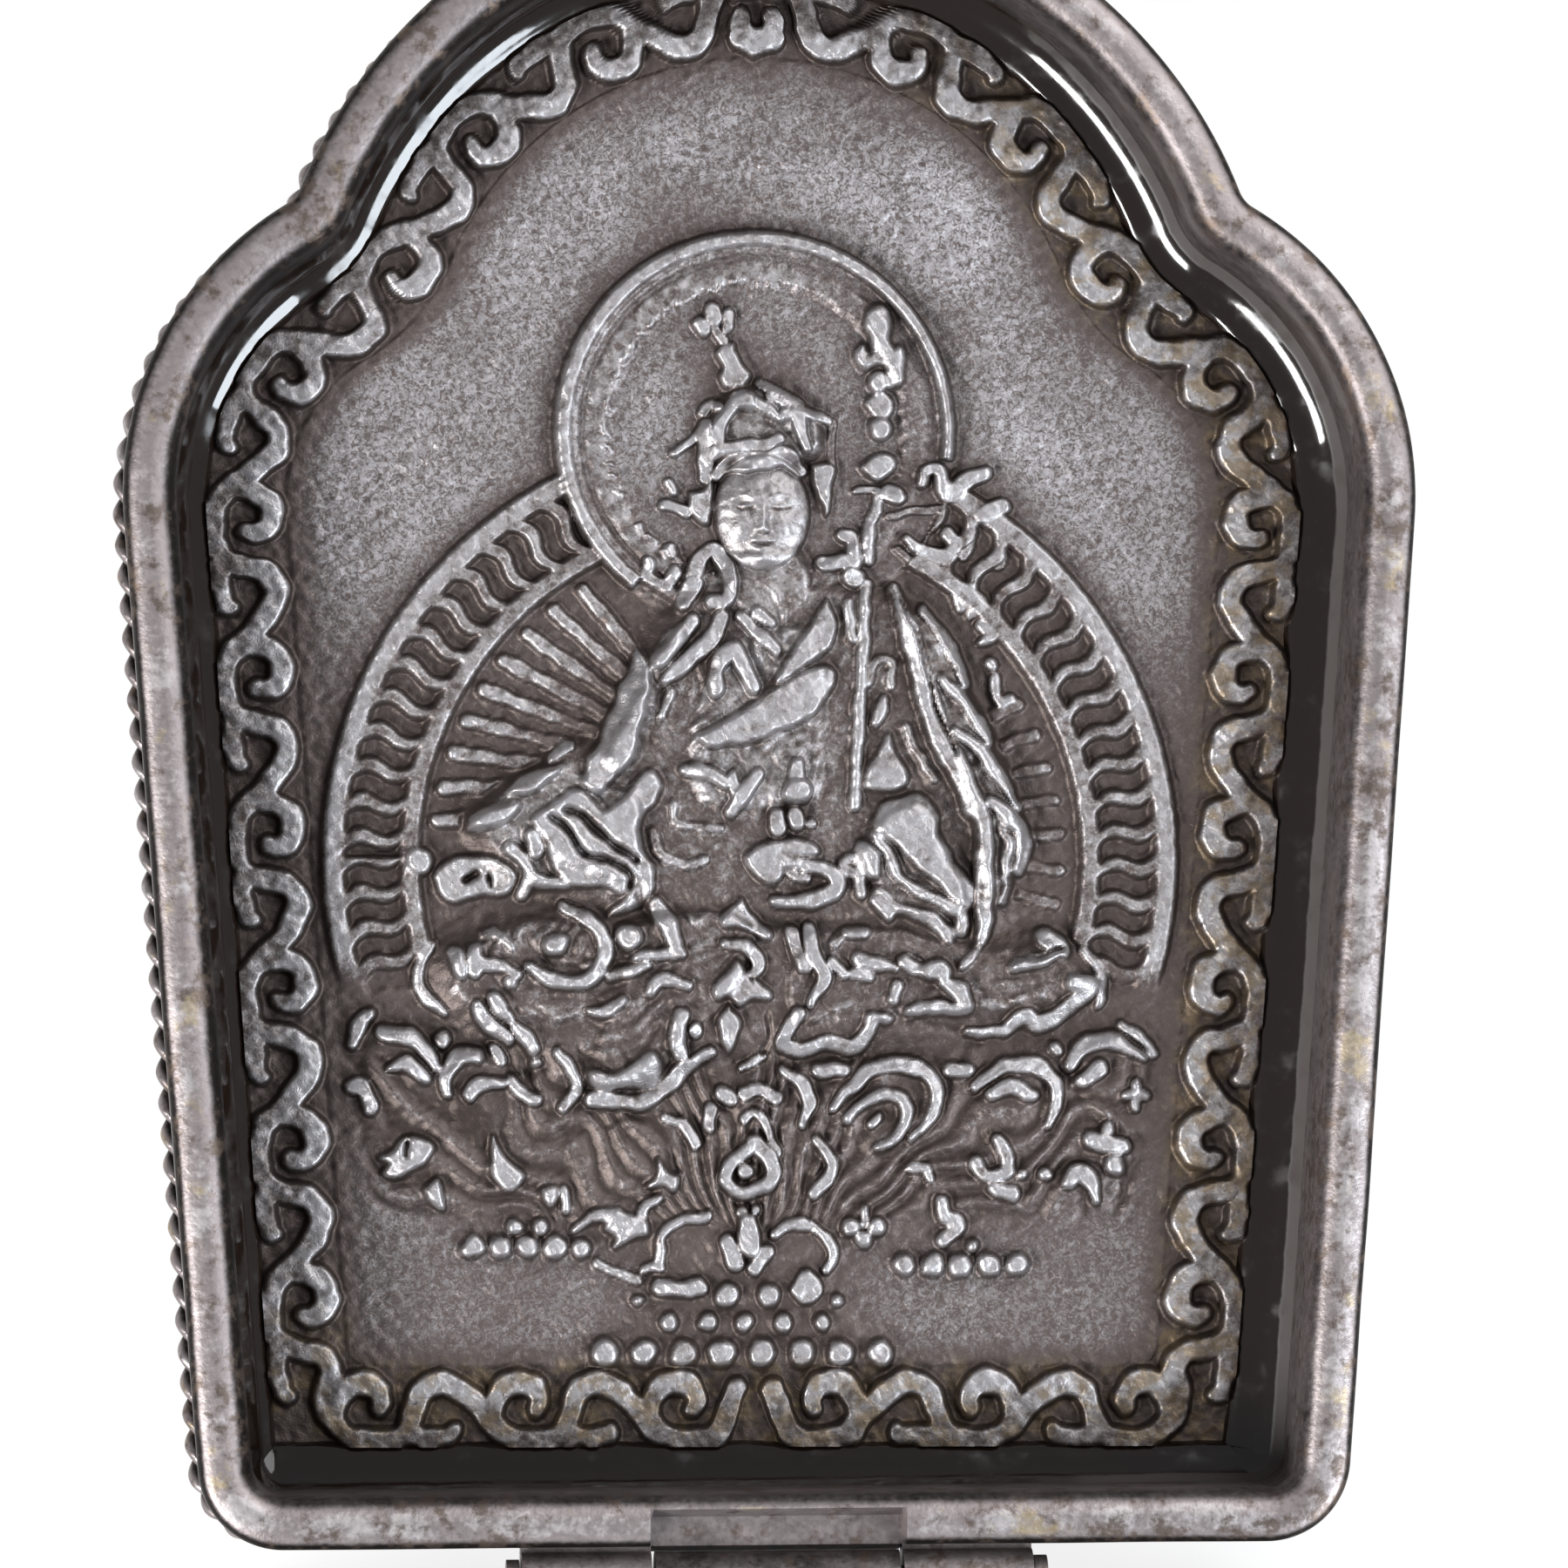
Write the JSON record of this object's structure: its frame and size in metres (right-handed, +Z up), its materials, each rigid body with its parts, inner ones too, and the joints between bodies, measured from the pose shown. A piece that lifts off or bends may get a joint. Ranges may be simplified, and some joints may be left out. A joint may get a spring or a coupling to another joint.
{
  "type": "ghau amulet box",
  "caption": "Small hinged metal shrine pendant with an arched trilobed outline, open flat, a relief plate of a seated figure in its tray, a lid on a pin hinge and lugs for a neck cord.",
  "frame": {"origin": "on the table under the middle of the hinge pin, with the box lying open on its back", "axes": "+X across the box, +Y from the hinge to the tray's crown, +Z up out of the open tray"},
  "size_m": [0.0356, 0.0988, 0.0081],
  "materials": {
    "worn_silver": "worn silver alloy, matt, with brown tarnish",
    "hinge_silver": "darkened silver alloy",
    "lug_silver": "worn silver alloy",
    "wire_silver": "twisted silver wire, dark in its grooves",
    "relief_silver": "oxidised relief with rubbed bright crests",
    "dark_adhesive": "cured glossy black-brown adhesive"
  },
  "bodies": {
    "tray": {"tray_back_plate": "worn_silver", "tray_wall_band": "worn_silver", "tray_rope_wire": "wire_silver", "relief_plate": "relief_silver", "plate_adhesive": "dark_adhesive", "tray_hinge_knuckles": "hinge_silver", "hinge_pin": "hinge_silver", "tray_bail_lugs": "lug_silver"},
    "lid": {"lid_face_plate": "worn_silver", "lid_wall_band": "worn_silver", "lid_rope_wire": "wire_silver", "lid_medallion": "relief_silver", "lid_hinge_knuckle": "hinge_silver", "lid_bail_lug": "lug_silver"}
  },
  "joints": [
    {"name": "lid_hinge", "type": "hinge", "parent": "tray", "child": "lid", "pos_m": [0, 0, 0.0055], "axis": [-1, 0, 0], "range_deg": [0, 180]}
  ]
}
